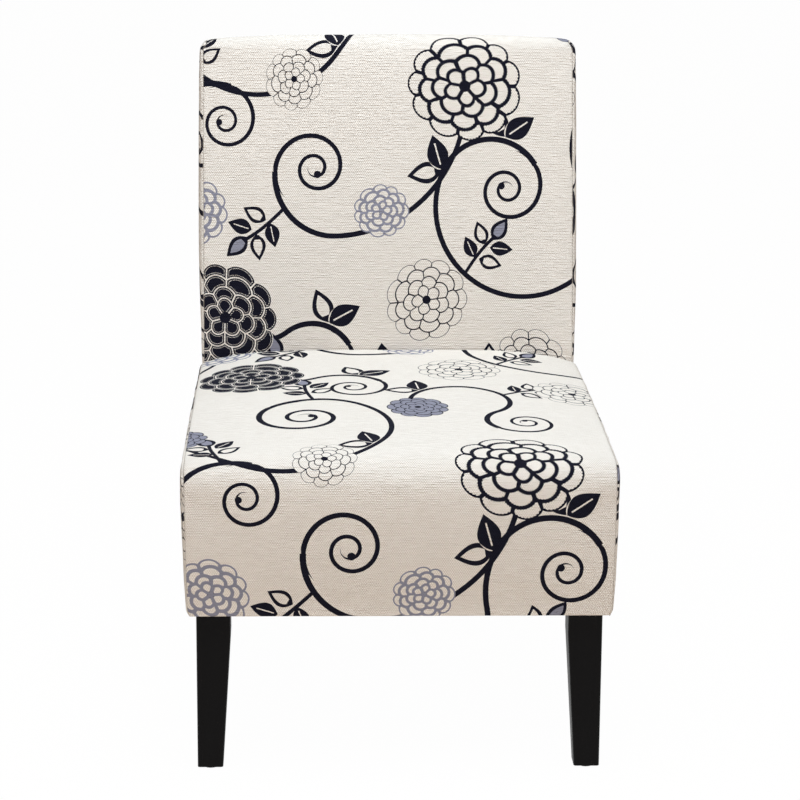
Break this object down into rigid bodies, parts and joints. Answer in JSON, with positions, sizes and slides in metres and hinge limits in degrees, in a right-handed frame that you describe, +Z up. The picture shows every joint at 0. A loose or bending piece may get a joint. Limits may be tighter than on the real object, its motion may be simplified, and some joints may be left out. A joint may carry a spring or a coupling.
{
  "type": "slipper chair",
  "caption": "Armless slipper chair with a padded seat box, a padded back that leans, and tapered dark legs, in pale printed linen.",
  "frame": {"origin": "on the floor, in the middle of the chair's bounding box", "axes": "+Z up; the chair faces -Y; +X is the sitter's left"},
  "size_m": [0.5578, 0.7122, 0.878],
  "materials": {
    "linen": "matte",
    "dark_legs": "satin",
    "timber": "matte",
    "foam": "matte",
    "felt": "matte",
    "dust_cloth": "matte",
    "webbing": "matte",
    "steel": "satin",
    "glide_plastic": "satin"
  },
  "bodies": {
    "root": {"seat_front_rail": "timber", "seat_rear_rail": "timber", "seat_side_rail_left": "timber", "seat_side_rail_right": "timber", "corner_block_front_left": "timber", "corner_block_front_right": "timber", "corner_block_rear_left": "timber", "corner_block_rear_right": "timber", "seat_spring_1": "steel", "seat_spring_2": "steel", "seat_spring_3": "steel", "seat_spring_4": "steel", "spring_clip_front_1": "steel", "spring_clip_front_2": "steel", "spring_clip_front_3": "steel", "spring_clip_front_4": "steel", "spring_clip_rear_1": "steel", "spring_clip_rear_2": "steel", "spring_clip_rear_3": "steel", "spring_clip_rear_4": "steel", "spring_pad": "felt", "seat_foam": "foam", "seat_cover_top": "linen", "seat_cover_side_left": "linen", "seat_cover_side_right": "linen", "dust_cover": "dust_cloth", "back_bottom_rail": "timber", "back_post_left": "timber", "back_post_right": "timber", "back_lumbar_rail": "timber", "back_top_rail": "timber", "back_webbing_1": "webbing", "back_webbing_2": "webbing", "back_webbing_3": "webbing", "back_webbing_4": "webbing", "back_foam": "foam", "back_cover_front": "linen", "back_cover_side_left": "linen", "back_cover_side_right": "linen", "back_cover_rear": "linen", "back_bolt_left_low": "steel", "back_bolt_left_high": "steel", "back_bolt_right_low": "steel", "back_bolt_right_high": "steel", "leg_front_left": "dark_legs", "leg_front_right": "dark_legs", "leg_rear_left": "dark_legs", "leg_rear_right": "dark_legs", "leg_glide_front_left": "glide_plastic", "leg_glide_front_right": "glide_plastic", "leg_glide_rear_left": "glide_plastic", "leg_glide_rear_right": "glide_plastic", "leg_stud_front_left": "steel", "leg_stud_front_right": "steel", "leg_stud_rear_left": "steel", "leg_stud_rear_right": "steel"}
  },
  "joints": []
}
